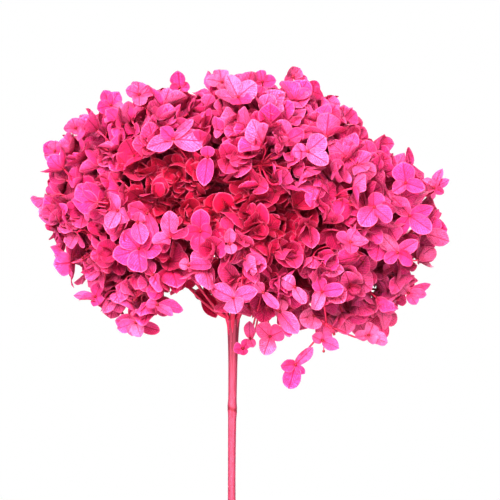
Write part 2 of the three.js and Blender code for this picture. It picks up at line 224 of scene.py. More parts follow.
def pressed(point):
    """A point drawn towards the head's centre: its distance times 1 less each hollow's share x
    exp(-(angle/spread)^2), and never less than LEAST_PRESS."""
    from_centre = point - HEAD_AT
    direction = unit(from_centre)
    press = 1.0
    for towards, part, spread in HOLLOWS:
        press -= part * nearness(direction, towards, spread)
    return HEAD_AT + from_centre * max(press, LEAST_PRESS)


def lay_cyme(direction, turn):
    """A cyme's middle, axes, hub and stalk foot. z is square to the ellipsoid, and x is level before
    its turn."""
    z = unit(direction / HALF_AXES**2)
    level = ACROSS if abs(z[2]) > 0.95 else np.array([0, 0, 1.0])
    x = turned(unit(np.cross(level, z)), z, turn)
    middle = HEAD_AT + direction * reach(direction)
    hub = middle - z * HUB_DEPTH
    to_fork = unit(FORK_AT - hub)
    inwards = unit(to_fork * 0.5 - z * 0.5)
    return cyme_record(direction, middle, x, z, hub, inwards)


def cyme_record(direction, middle, x, z, hub, inwards):
    """A cyme's values, with its stalk's foot inwards of its hub."""
    return {
        "direction": direction,
        "middle": middle,
        "x": x,
        "y": np.cross(z, x),
        "z": z,
        "hub": hub,
        "base": hub + inwards * STALK,
        "florets": [],
    }


def floret(centre, facing, along, roll, size, opened=None, sepals=4, own=None):
    """A floret's values. `along` is where its first sepal points before the roll, which is in degrees,
    and `own` holds the sepals that are known."""
    return {
        "centre": centre,
        "facing": unit(facing),
        "along": along,
        "roll": roll,
        "size": size,
        "open": opened,
        "sepals": sepals,
        "own": own,
    }


def across_cyme(cyme, angle):
    """The direction at an angle from a cyme's x towards its y."""
    return cyme["x"] * math.cos(angle) + cyme["y"] * math.sin(angle)


def lay_florets(cyme, index):
    """A ring of four that lean outwards, alternately lower and higher, and one that stands proud."""
    places = []
    for k in range(4):
        n = 4 * index + k
        outwards = across_cyme(cyme, math.radians(90 * k + 8 * scatter(n, GOLDEN)))
        away = RING["away"] * (1 + 0.08 * scatter(n, SILVER))
        rise = -RING["drop"] + (-RING["stagger"] if k % 2 == 0 else RING["stagger"])
        lean = RING["lean"] + 0.1 * scatter(n, SILVER)
        centre = cyme["middle"] + outwards * away + cyme["z"] * rise
        roll = 45 + 12 * scatter(n, GOLDEN)
        size = SEPAL * (1 + 0.09 * scatter(n, SILVER))
        places.append(floret(centre, cyme["z"] + outwards * lean, outwards, roll, size))
    tilt = across_cyme(cyme, math.radians(180 * scatter(index, SILVER)))
    centre = cyme["middle"] + cyme["z"] * RING["rise"]
    roll = 12 * scatter(index, GOLDEN)
    places.append(floret(centre, cyme["z"] + tilt * 0.1, cyme["x"], roll, SEPAL))
    return places


def lay_filling_florets(cyme, rng):
    """Florets between the ring's: eight at the surface, eight lower down and one beside the hub."""
    places = []
    for k in range(2 * FILLING + 1):
        outwards = across_cyme(cyme, math.radians(LEAF_TURN * k + rng.uniform(-25, 25)))
        if k < FILLING:
            away, rise, spread = rng.uniform(9, 26), rng.uniform(-13, 0), rng.uniform(0.1, 1.0)
        elif k < 2 * FILLING:
            away, rise, spread = rng.uniform(8, 25), rng.uniform(-28, -13), rng.uniform(-0.2, 1.2)
        else:
            away, rise, spread = 6.0, -HUB_DEPTH - 6, 0.8
        centre = cyme["middle"] + outwards * away + cyme["z"] * rise
        roll = rng.uniform(0, 90)
        size = SEPAL * rng.uniform(0.78, 1.0)
        places.append(floret(centre, cyme["z"] + outwards * spread, outwards, roll, size))
    return places


def lay_head(rng):
    """Every cyme with its florets: the arcs' cymes, the loose one, and the florets that stand out."""
    cymes = []
    for down_angle, start, sweep, count in ARCS:
        for k in range(count):
            n = len(cymes)
            down = math.radians(down_angle + 4 * scatter(n, GOLDEN))
            around = math.radians(start + sweep * k / count + 5 * scatter(n, SILVER))
            direction = np.array(
                [math.sin(down) * math.cos(around), math.sin(down) * math.sin(around), math.cos(down)]
            )
            cyme = lay_cyme(direction, math.pi * scatter(n, GOLDEN))
            cyme["florets"] = lay_florets(cyme, n)
            cyme["florets"] += lay_filling_florets(cyme, rng)
            for place in cyme["florets"]:
                place["facing"] = unit(place["facing"] + rng.normal(0, FACING_SCATTER, 3))
                place["open"] = rng.uniform(0.05, 0.85)
                place["sepals"] = int(rng.choice([3, 4, 4, 4, 4, 4, 5]))
                sunk = place["size"] * (SUNK_OPEN + SUNK_SHUT * (1 - place["open"]))
                place["centre"] = pressed(place["centre"] - cyme["z"] * sunk)
            cyme["hub"], cyme["base"] = pressed(cyme["hub"]), pressed(cyme["base"])
            cyme["florets"] = [place for place in cyme["florets"] if has_room(place["centre"])]
            cymes.append(cyme)
    cymes.append(lay_loose_cyme())
    for place in [*lay_lining_florets(rng), *lay_standouts(rng)]:
        nearest = min(cymes, key=lambda cyme: np.linalg.norm(cyme["hub"] - place["centre"]))
        nearest["florets"].append(place)
    return cymes


def lay_standouts(rng):
    """The florets whose sepals are set one by one."""
    places = []
    for at, own in STANDOUTS:
        centre = HEAD_AT + np.array(at, float)
        facing = np.array(STANDOUT_FACING) + rng.normal(0, 0.24, 3)
        places.append(floret(centre, facing, ACROSS, 0, SEPAL, 0.85, len(own), own))
    return places


def lay_lining_florets(rng):
    """Florets that line the hollows, each scattered round a hollow's middle."""
    places = []
    for towards, _, spread in HOLLOWS:
        for _ in range(LINING_FLORETS):
            direction = unit(unit(towards) + rng.normal(0, math.radians(spread) * 0.75, 3))
            centre = HEAD_AT + direction * (reach(direction) - rng.uniform(6, 18))
            facing = direction + rng.normal(0, 0.6, 3)
            roll = rng.uniform(0, 90)
            size = SEPAL * rng.uniform(0.8, 1.0)
            opened = rng.uniform(0.05, 0.7)
            place = floret(pressed(centre), facing, ACROSS, roll, size, opened)
            if has_room(place["centre"]):
                places.append(place)
    return places


def has_room(centre):
    """Whether a floret stands clear of the standouts and of the gap in the underside."""
    at = centre - HEAD_AT
    for place, _ in STANDOUTS:
        if np.linalg.norm(at - place) < STANDOUT_ROOM:
            return False
    for (across, up), radius, back in GAPS:
        if at[1] < back and math.hypot(at[0] - across, at[2] - up) < radius:
            return False
    return True


def lay_loose_cyme():
    """The cyme that hangs below the rim. Its florets are among the standouts."""
    z, x = unit(LOOSE_AXIS), ACROSS
    hub = HEAD_AT + np.array(LOOSE_HUB, float)
    return cyme_record(unit(LOOSE_HUB), hub, x, z, hub, unit(FORK_AT - hub))


# ---- Meshes ----
def put(name, data):
    """A new object in the scene that shows some data."""
    thing = bpy.data.objects.new(name, data)
    bpy.context.scene.collection.objects.link(thing)
    return thing


def make_piece(name, parts, material, replaced, crease=80):
    """One object in place of a CAD node, from parts of (points, quads, triangles, uv, marks). Edges bent
    past `crease` degrees stay sharp. A point's marks are its tone, its nearness to the rim, which the
    sepals' finish turns into a painted highlight, and how far inside the head it lies, which the sepals'
    finish turns into painted shade."""
    points, loops, totals, uvs, marks = [], [], [], [], []
    start = 0
    for part_points, quads, triangles, uv, part_marks in parts:
        points.append(part_points.reshape(-1, 3))
        for faces in (quads, triangles):
            if len(faces):
                loops.append(faces.ravel() + start)
                totals.append(np.full(len(faces), faces.shape[1]))
        uvs.append(uv.reshape(-1, 2))
        marks.append(part_marks.reshape(-1, 3))
        start += len(points[-1])
    points, loops, totals = np.concatenate(points), np.concatenate(loops), np.concatenate(totals)
    mesh = bpy.data.meshes.new(name)
    mesh.vertices.add(len(points))
    mesh.vertices.foreach_set("co", points.astype(np.float32).ravel())
    mesh.loops.add(len(loops))
    mesh.loops.foreach_set("vertex_index", loops.astype(np.int32))
    mesh.polygons.add(len(totals))
    starts = np.concatenate([[0], np.cumsum(totals)[:-1]])
    mesh.polygons.foreach_set("loop_start", starts.astype(np.int32))
    mesh.update(calc_edges=True)
    uv = np.concatenate(uvs)[loops]
    mesh.uv_layers.new(name="surface").data.foreach_set("uv", uv.astype(np.float32).ravel())
    layer = mesh.attributes.new("marks", "FLOAT_VECTOR", "POINT")
    layer.data.foreach_set("vector", np.concatenate(marks).astype(np.float32).ravel())
    mesh.polygons.foreach_set("use_smooth", np.ones(len(totals), bool))
    mesh.set_sharp_from_angle(angle=math.radians(crease))
    mesh.validate()
    mesh.materials.append(material)
    piece = put(name, mesh)
    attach(piece, "root")
    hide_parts(replaced)


def repeat_faces(faces, copies, stride):
    """The same faces for each copy of a shape whose points follow one another."""
    return (faces[None] + (np.arange(copies) * stride)[:, None, None]).reshape(-1, faces.shape[1])


def ring_points(rings, sides):
    """The places of stacked rings' points after one middle point, and of the points beside them."""
    i, j = np.meshgrid(np.arange(rings - 1), np.arange(sides), indexing="ij")
    return 1 + i * sides + j, 1 + i * sides + (j + 1) % sides


def tubes(paths, radii, sides, tone):
    """Closed tubes round paths, both shaped (tubes, steps, ...): circles square to each path, and a point
    at both ends. u of the uv goes round and v is the length in metres."""
    count, steps, _ = paths.shape
    tangent = unit(np.gradient(paths, axis=1))
    mean = unit(paths[:, -1] - paths[:, 0])
    reference = np.eye(3)[np.argmin(np.abs(mean), axis=1)][:, None]
    side = unit(np.cross(tangent, reference))
    up = np.cross(tangent, side)
    angle = np.linspace(0, 2 * math.pi, sides, endpoint=False)
    round_about = side[:, :, None] * np.cos(angle)[:, None] + up[:, :, None] * np.sin(angle)[:, None]
    rings = paths[:, :, None] + round_about * radii[:, :, None, None]
    points = np.concatenate([paths[:, :1], rings.reshape(count, -1, 3), paths[:, -1:]], axis=1)
    # The circles run anticlockwise as seen from the path's end, and this order faces outwards.
    here, beside = ring_points(steps, sides)
    quads = np.stack([beside, beside + sides, here + sides, here], -1).reshape(-1, 4)
    stride = points.shape[1]
    near_cap = np.stack([beside[0], here[0], np.zeros(sides, int)], -1)
    far_cap = np.stack([here[-1] + sides, beside[-1] + sides, np.full(sides, stride - 1)], -1)
    caps = np.concatenate([near_cap, far_cap])
    lengths = np.cumsum(np.linalg.norm(np.diff(paths, axis=1), axis=-1), axis=1)
    along = np.concatenate([np.zeros((count, 1)), lengths], axis=1)
    v = np.concatenate([along[:, :1], np.repeat(along, sides, axis=1), along[:, -1:]], axis=1)
    u = np.concatenate([[0], np.tile(angle / (2 * math.pi), steps), [0]])
    uv = np.stack([np.broadcast_to(u, v.shape), v], -1)
    marks = np.zeros((*v.shape, 3))
    marks[..., 0] = tone
    return points, repeat_faces(quads, count, stride), repeat_faces(caps, count, stride), uv, marks


def bezier(a, b, c, d, steps):
    """Points of cubic curves that leave a towards b and reach d from c, each shaped (curves, 3)."""
    t = np.linspace(0, 1, steps)[None, :, None]
    a, b, c, d = (np.atleast_2d(p)[:, None] for p in (a, b, c, d))
    return a * (1 - t) ** 3 + 3 * b * t * (1 - t) ** 2 + 3 * c * t**2 * (1 - t) + d * t**3


# ---- Sepals ----
SEPAL_ROWS = np.linspace(-1, 1, 6)
SEPAL_COLUMNS = np.array([-1.0, -0.7, -0.36, 0.0, 0.36, 0.7, 1.0])
SEPAL_THICKNESS = 0.34 * MM
SEPAL_SHAPE = "length width rise bend fold twist wave phase point claw azimuth".split()
# A known sepal narrower than this is made this wide and wrung this far.
EDGE_ON = {"below": 5, "width": 9, "twist": 1.3}
# Where the sepals' painted shade starts inside the head, and over how much it grows full, in radii of the
# head.
SHADE_DEPTH_START = 1.08
SHADE_DEPTH_SPAN = 0.55


def sepal_faces():
    """The faces of a front grid and of a back grid that shares its rim, and which points are inner."""
    rows, columns = len(SEPAL_ROWS), len(SEPAL_COLUMNS)
    front = np.arange(rows * columns).reshape(rows, columns)
    inner = np.zeros_like(front, bool)
    inner[1:-1, 1:-1] = True
    back = front.copy()
    back[inner] = rows * columns + np.arange(inner.sum())

    def quads(grid):
        return np.stack([grid[:-1, :-1], grid[1:, :-1], grid[1:, 1:], grid[:-1, 1:]], -1).reshape(-1, 4)

    return np.concatenate([quads(front), quads(back)[:, ::-1]]), inner.ravel()


def sepal_shells(shape, frames, hearts):
    """Thin closed shells, one for each sepal.

    The blade starts as a square grid, t along it and s across, bent to a disc: x = s sqrt(1 - t^2/2)
    and y = t sqrt(1 - s^2/2). With q = (y + 1)/2 the disc narrows towards the claw by
    1 - claw (1 - q)^2, and its tip is drawn out by point x (1 - |x|)^2 q^4. The midrib is an arc whose
    slope goes from `rise` by `bend` q. Across, the blade is rolled on a cylinder by `fold`, wrung about
    the midrib by `twist` q, and its margin waves by `wave` sin(6q + phase) x^2.
    """
    t, s = np.meshgrid(SEPAL_ROWS, SEPAL_COLUMNS, indexing="ij")
    x = (s * np.sqrt(1 - t**2 / 2))[None]
    q = ((t * np.sqrt(1 - s**2 / 2) + 1) / 2)[None]
    rim = np.maximum(np.abs(s), np.abs(t))[None]
    length, width, rise, bend, fold, twist, wave, phase, point, claw, azimuth = (
        shape[key][:, None, None] for key in SEPAL_SHAPE
    )
    bend = np.where(np.abs(bend) < 1e-3, 1e-3, bend)
    fold = np.where(np.abs(fold) < 1e-2, 1e-2, fold)
    drawn = q + point * (1 - np.abs(x)) ** 2 * q**4
    slope = rise + bend * drawn
    out = length * (np.sin(slope) - np.sin(rise)) / bend
    up = length * (np.cos(rise) - np.cos(slope)) / bend
    half = width * (1 - claw * (1 - q) ** 2)
    roll = fold * x
    across = half * np.sin(roll) / fold
    height = half * (1 - np.cos(roll)) / fold + wave * width * x**2 * np.sin(6 * q + phase)
    wring = twist * q
    across, height = (
        across * np.cos(wring) - height * np.sin(wring),
        across * np.sin(wring) + height * np.cos(wring),
    )
    lean = roll + wring
    normal_across, normal_height = -np.sin(lean), np.cos(lean)
    swell = SEPAL_THICKNESS / 2 * (1 - rim**4)

    def placed(sign):
        side = across + sign * swell * normal_across
        lift = height + sign * swell * normal_height
        radial = out - lift * np.sin(slope)
        vertical = up + lift * np.cos(slope)
        local_x = radial * np.cos(azimuth) - side * np.sin(azimuth)
        local_y = radial * np.sin(azimuth) + side * np.cos(azimuth)
        local = np.stack([local_x, local_y, vertical], -1).reshape(len(radial), -1, 3)
        return np.einsum("npi,nij->npj", local, frames) + hearts[:, None]

    faces, inner = sepal_faces()
    points = np.concatenate([placed(1), placed(-1)[:, inner]], axis=1)
    count, each = points.shape[:2]
    uv = np.stack([q[0], x[0] * 0.5 + 0.5], -1).reshape(-1, 2)
    uv = np.broadcast_to(np.concatenate([uv, uv[inner]]), (count, each, 2))
    rim = rim.ravel()
    rims = np.broadcast_to(np.concatenate([rim, rim[inner]]), (count, each))
    tones = np.broadcast_to(shape["tone"][:, None], (count, each))
    # How far inside the head each sepal lies, which the finish turns into painted shade.
    shade_depths = np.broadcast_to(shape["shade_depth"][:, None], (count, each))
    marks = np.stack([tones, rims, shade_depths], -1)
    return points, repeat_faces(faces, count, each), np.zeros((0, 3), int), uv, marks


def floret_frames(places):
    """Rows x, y and z of each floret's own frame: z faces out of it and x runs along its first sepal."""
    frames = []
    for place in places:
        z = place["facing"]
        x = turned(square_to(place["along"], z), z, math.radians(place["roll"]))
        frames.append([x, np.cross(z, x), z])
    return np.array(frames)


def painted_shade_depth(points):
    """Painted shade for the sepals: 0 at the outermost florets and 1 far inside the head, (start - r) /
    span, with r in radii of the head.
    """
    radii = np.linalg.norm((points - HEAD_CENTRE) / (HALF_AXES * MM), axis=1)
    return np.clip((SHADE_DEPTH_START - radii) / SHADE_DEPTH_SPAN, 0, 1)


def sepals_of(places, rng):
    """The sepals of a cyme's florets. A shut floret's sepals rise and fold, an open one's lie flat. Known
    sepals keep their angle, length and width, and a narrow one is wrung to show its edge."""
    counts = np.array([place["sepals"] for place in places])
    owner = np.repeat(np.arange(len(places)), counts)
    order = np.concatenate([np.arange(count) for count in counts])

    def each(key):
        return np.array([place[key] for place in places])[owner]

    frames = floret_frames(places)[owner]
    hearts, size, shut = each("centre") * MM, each("size") * MM, 1 - each("open")
    total = len(owner)
    step = 2 * math.pi / counts[owner]
    likeness = rng.normal(0, 1, len(places))[owner]
    own = [place["own"] or [(np.nan,) * 3] * place["sepals"] for place in places]
    own_angle, own_length, own_width = np.concatenate(own).T
    shape = {
        "length": size * rng.uniform(0.86, 1.12, total),
        "width": size * rng.uniform(0.44, 0.60, total),
        "rise": 0.05 + 0.85 * shut + 0.17 * (order % 2) + rng.normal(0, 0.16, total),
        "bend": rng.normal(0.1, 0.55, total) + 0.35 * shut,
        "fold": rng.normal(0.45, 0.4, total) + 0.6 * shut,
        "twist": rng.normal(0, 0.3, total),
        "wave": rng.uniform(0.02, 0.28, total),
        "phase": rng.uniform(0, 2 * math.pi, total),
        "point": rng.uniform(0.02, 0.15, total),
        "claw": rng.uniform(0.12, 0.4, total),
        "azimuth": order * step + rng.normal(0, 0.16, total),
        "tone": np.clip(0.5 + 0.2 * rng.normal(0, 1, total) + 0.14 * likeness, 0, 1),
        # how far inside the head each sepal lies, for its painted shade
        "shade_depth": painted_shade_depth(hearts),
    }
    known = ~np.isnan(own_angle)
    edge_on = known & (own_width < EDGE_ON["below"])
    kept = {
        "azimuth": np.radians(own_angle),
        "length": own_length * MM,
        "width": np.where(edge_on, EDGE_ON["width"], own_width) * 0.6 * MM,
        "twist": np.where(edge_on, EDGE_ON["twist"], shape["twist"] * 0.4),
        "rise": 0.10 + 0.28 * (order % 2),
        "fold": 0.45 + 0.6 * shape["fold"],
        "bend": 0.7 * shape["bend"],
        "tone": 0.9 * shape["tone"] + 0.1,
    }
    for key, value in kept.items():
        shape[key] = np.where(known, value, shape[key])
    return sepal_shells(shape, frames, hearts)


# ---- Stalks, hearts and fertile flowers ----
THREADS = 4


def buds(centres, axes, radius, tone):
    """Small round buds: circles of radius sin(t) x radius set along each axis at cos(t)."""
    t = np.linspace(0.35, math.pi - 0.35, 5)
    paths = centres[:, None] - axes[:, None] * (np.cos(t) * radius)[None, :, None]
    radii = np.broadcast_to(np.sin(t) * radius, (len(centres), len(t)))
    return tubes(paths, radii, 6, tone)


def stalks_of(cyme, rng):
    """The pedicels from hub to hearts, the cyme's own stalk, the hearts' buds and the fertile flowers."""
    hub, foot, z = cyme["hub"] * MM, cyme["base"] * MM, cyme["z"]
    hearts = np.array([place["centre"] for place in cyme["florets"]]) * MM
    facing = np.array([place["facing"] for place in cyme["florets"]])
    gap = np.linalg.norm(hearts - hub, axis=1, keepdims=True)
    sway = rng.normal(0, 1.2 * MM, hearts.shape)
    leaving = hub + unit(hearts - hub + z * 8 * MM) * gap * 0.4 + sway
    arriving = hearts - facing * gap * 0.4
    hubs = np.broadcast_to(hub, hearts.shape)
    pedicels = bezier(hubs, leaving, arriving, hearts - facing * 0.2 * MM, 8)
    radii = np.linspace(0.6, 0.42, 8) * MM
    radii[-1] *= 1.5
    parts = [tubes(pedicels, np.broadcast_to(radii, (len(hearts), 8)), 5, 0.25)]
    stalk = bezier(foot, foot + (hub - foot) * 0.4, hub - z * 3 * MM, hub, 7)
    parts.append(tubes(stalk, np.linspace(1.05, 0.95, 7)[None] * MM, 8, 0.1))
    parts.append(buds(hub[None] + z * 0.2 * MM, z[None], 1.5 * MM, 0.2))
    parts.append(buds(hearts + facing * 0.5 * MM, facing, 0.95 * MM, 0.85))
    aside = unit(rng.normal(0, 1, (THREADS, 3)))
    out = z * rng.uniform(5, 13, (THREADS, 1)) * MM
    tips = hub + out + aside * rng.uniform(4, 11, (THREADS, 1)) * MM
    bent = unit(tips - hub + z * 6 * MM)
    threads = bezier(np.broadcast_to(hub, tips.shape), hub + bent * 6 * MM, tips - z * 5 * MM, tips, 6)
    radii = np.broadcast_to(np.linspace(0.34, 0.24, 6) * MM, (THREADS, 6))
    parts.append(tubes(threads, radii, 4, 0.45))
    parts.append(buds(tips, np.broadcast_to(z, tips.shape), 0.8 * MM, 0.95))
    return parts


# ---- Rays ----
RAYS = 6
SEAT_AWAY = 2.22 * MM
PARTING_SHARE = 0.48
CROWN_ANGLE = 30
LOW_BASE = 34 * MM
LOW_LEVEL = 0.55
LOW_THICKNESS = 0.65


def ray_of(cyme):
    """Which ray carries a cyme: the middle one takes the crown, and the others a sector each."""
    if cyme["direction"][2] > math.cos(math.radians(CROWN_ANGLE)):
        return RAYS
    around = math.atan2(cyme["direction"][1], cyme["direction"][0]) / (2 * math.pi)
    return int(math.floor((around + 1) * RAYS)) % RAYS


def ray_parts(number, carried):
    """A ray that leaves the stem's head upright and bends to its parting, and a branch to each cyme. The
    lowest branches on the left are thinner, leave the stem's head beside the ray and start more level."""
    around = 2 * math.pi * (number + 0.5) / RAYS
    away = 0 if number == RAYS else SEAT_AWAY
    outwards = np.array([math.cos(around), math.sin(around), 0.0])
    seat = FORK + outwards * away
    mean = np.mean([cyme["base"] for cyme in carried], axis=0) * MM
    parting = seat + (mean - seat) * PARTING_SHARE
    foot = FORK + outwards * away * 0.6 - np.array([0, 0, 9 * MM])
    rise = np.array([0, 0, 12 * MM])
    steps = 16
    ray = bezier(foot, seat + rise * 0.7, seat + (parting - seat) * 0.5 + rise * 0.3, parting, steps)
    along = np.linspace(0, 1, steps)
    thick = (1.3 + 0.35 * np.sin(math.pi * along) + 0.5 * np.exp(-((5 * (1 - along)) ** 2))) * MM
    parts = [tubes(ray, thick[None], 10, 0.3)]
    onward = unit(parting - seat)
    bases = np.array([cyme["base"] for cyme in carried]) * MM
    hubs = np.array([cyme["hub"] for cyme in carried]) * MM
    low = (bases[:, 2:] < FORK[2] + LOW_BASE) & (bases[:, :1] < FORK[0])
    starts = np.where(low, seat, parting)
    gap = np.linalg.norm(bases - starts, axis=1, keepdims=True)
    towards = unit(bases - starts)
    level = towards * np.array([1.0, 1.0, LOW_LEVEL])
    leaving = starts + np.where(low, level, unit(towards + onward * 0.7)) * gap * 0.4
    arriving = bases - unit(hubs - bases) * gap * 0.3
    branches = bezier(starts, leaving, arriving, bases, 12)
    radii = np.linspace(1.35, 1.08, 12) * MM * np.where(low, LOW_THICKNESS, 1.0)
    parts.append(tubes(branches, radii, 8, 0.2))
    parts.append(buds(parting[None], onward[None], 2.1 * MM, 0.35))
    return parts


# ---- Stem ----
STEM_RADIUS = 2.15 * MM
NODE_BELOW_FORK = 52 * MM
RIDGES = 6
RIDGE_TURN = 0.4


def stem_part():
    """The stem as circles up its length, at heights h over the node and d below the fork, in mm. Its
    radius swells by 0.42 exp(-(h/3.2)^2) less 0.16 exp(-(h/0.7)^2) for the scar, flares by
    1.1 exp(-d/24) + 0.3 exp(-d/5), and has ridges, (0.05 + 0.4 exp(-d/16)) cos(6 angle + 0.4), and fine
    grooves. The stem sways a little from side to side."""
    rings, sides = 190, 36
    z = STEM_FOOT + (FORK[2] - STEM_FOOT) * np.linspace(0, 1, rings)
    below = FORK[2] - z
    angle = np.linspace(0, 2 * math.pi, sides, endpoint=False)
    node = FORK[2] - NODE_BELOW_FORK
    slant = z[:, None] - node + 0.9 * MM * np.cos(angle)[None]
    swell = 0.42 * MM * np.exp(-((slant / (3.2 * MM)) ** 2))
    swell -= 0.16 * MM * np.exp(-((slant / (0.7 * MM)) ** 2))
    flare = 1.1 * MM * np.exp(-below / (24 * MM)) + 0.3 * MM * np.exp(-below / (5 * MM))
    growth = (0.05 + 0.40 * np.exp(-below / (16 * MM)))[:, None]
    ridge = growth * MM * np.cos(RIDGES * angle + RIDGE_TURN)[None]
    groove = 0.05 * MM * np.cos(11 * angle[None] + 9 * z[:, None] / 0.1) * np.cos(17 * angle)[None]
    radius = STEM_RADIUS + flare[:, None] + swell + ridge + groove
    radius = np.minimum(radius, STEM_HEAD + 0.7 * MM)
    sway = 0.45 * MM * np.sin(2 * math.pi * (z - STEM_FOOT) / 0.21)
    x = FORK[0] + sway[:, None] + radius * np.cos(angle)
    y = radius * np.sin(angle)
    grid = np.stack([x, y, np.broadcast_to(z[:, None], x.shape)], -1)
    return revolved(grid, z, angle)


def revolved(grid, v, angle):
    """Rings, shaped (rings, sides, 3), closed by a point in the middle of the first and of the last."""
    rings, sides, _ = grid.shape
    ends = grid[0].mean(axis=0), grid[-1].mean(axis=0)
    points = np.concatenate([[ends[0]], grid.reshape(-1, 3), [ends[1]]])
    here, beside = ring_points(rings, sides)
    quads = np.stack([here, beside, beside + sides, here + sides], -1).reshape(-1, 4)
    near_cap = np.stack([np.zeros(sides, int), beside[0], here[0]], -1)
    far_cap = np.stack([np.full(sides, len(points) - 1), here[-1] + sides, beside[-1] + sides], -1)
    caps = np.concatenate([near_cap, far_cap])
    u = np.concatenate([[0], np.tile(angle / (2 * math.pi), rings), [0]])
    uv = np.stack([u, np.concatenate([[v[0]], np.repeat(v, sides), [v[-1]]])], -1)
    return points, quads, caps, uv, np.zeros((len(points), 3))


# ---- Jar ----
WALL = 2.8 * MM
JAR_FLOOR = 6 * MM
NECK = 29.5 * MM
LIP = 32 * MM
FOOT_ROUND = 4 * MM
SHOULDER_BELOW_RIM = 22 * MM
NEAR_AXIS = 0.001 * MM


def rounded(start, corner, end, steps=9):
    """A quadratic curve from start to end that bends towards the corner, without its last point."""
    t = np.linspace(0, 1, steps)[:-1, None]
    start, corner, end = (np.array(p, float) for p in (start, corner, end))
    return start * (1 - t) ** 2 + 2 * corner * t * (1 - t) + end * t**2


def straight(start, end, steps):
    """Evenly spaced points from start to end, without the last."""
    t = np.linspace(0, 1, steps)[:-1, None]
    return np.array(start, float) * (1 - t) + np.array(end, float) * t


def jar_part():
    """The jar's closed profile, out along the foot, up the outside, over the lip and down the inside,
    turned round its axis."""
    shoulder = JAR_RADIUS - NECK
    top = JAR_HEIGHT - SHOULDER_BELOW_RIM
    inner, neck = JAR_RADIUS - WALL, NECK - WALL
    outer_low = (JAR_RADIUS, FOOT_ROUND)
    outer_high = (JAR_RADIUS, top - shoulder)
    neck_low = (NECK, top + 4 * MM)
    neck_high = (NECK, JAR_HEIGHT - 8 * MM)
    lip = (LIP, JAR_HEIGHT - 3.5 * MM)
    rim = (NECK - WALL / 2, JAR_HEIGHT)
    inside_high = (inner, top - shoulder - 1 * MM)
    inside_low = (inner, JAR_FLOOR + FOOT_ROUND)
    profile = np.concatenate(
        [
            straight((NEAR_AXIS, 0), (JAR_RADIUS - FOOT_ROUND, 0), 4),
            rounded((JAR_RADIUS - FOOT_ROUND, 0), (JAR_RADIUS, 0), outer_low),
            straight(outer_low, outer_high, 10),
            rounded(outer_high, (JAR_RADIUS, top), neck_low, 14),
            straight(neck_low, neck_high, 4),
            rounded(neck_high, (LIP, JAR_HEIGHT - 7 * MM), lip),
            rounded(lip, (LIP, JAR_HEIGHT), rim),
            rounded(rim, (neck, JAR_HEIGHT), (neck, JAR_HEIGHT - 2 * MM), 5),
            straight((neck, JAR_HEIGHT - 2 * MM), (neck, top + 3 * MM), 4),
            rounded((neck, top + 3 * MM), (inner, top - 2 * MM), inside_high, 14),
            straight(inside_high, inside_low, 10),
            rounded(inside_low, (inner, JAR_FLOOR), (inner - FOOT_ROUND, JAR_FLOOR)),
            straight((inner - FOOT_ROUND, JAR_FLOOR), (NEAR_AXIS, JAR_FLOOR), 4),
            [(NEAR_AXIS, JAR_FLOOR)],
        ]
    )
    sides = 96
    angle = np.linspace(0, 2 * math.pi, sides, endpoint=False)
    x = profile[:, :1] * np.cos(angle)
    y = profile[:, :1] * np.sin(angle)
    grid = np.stack([x, y, np.broadcast_to(profile[:, 1:], x.shape)], -1)
    return revolved(grid, profile[:, 1], angle)


# ---- Shader maths ----
class Sock:
    """An output socket whose arithmetic adds Math nodes to its tree."""

    def __init__(self, tree, socket):
        self.tree = tree
        self.socket = socket

    def math(self, operation, *others):
        values = dict(enumerate((self, *others)))
        return self.tree.node("ShaderNodeMath", {"operation": operation}, values)

    def __add__(self, other):
        return self.math("ADD", other)

    def __sub__(self, other):
        return self.math("SUBTRACT", other)

    def __rsub__(self, other):
        return self.tree.node("ShaderNodeMath", {"operation": "SUBTRACT"}, {0: other, 1: self})

    def __mul__(self, other):
        return self.math("MULTIPLY", other)

    __radd__ = __add__
    __rmul__ = __mul__

    def abs(self):
        return self.math("ABSOLUTE")

    def max(self, other):
        return self.math("MAXIMUM", other)

    def step(self, low, high):
        """0 below low, 1 above high and smooth between; low above high turns it round."""
        settings = {"interpolation_type": "SMOOTHSTEP"}
        values = {"Value": self, "From Min": low, "From Max": high}
        return self.tree.node("ShaderNodeMapRange", settings, values)


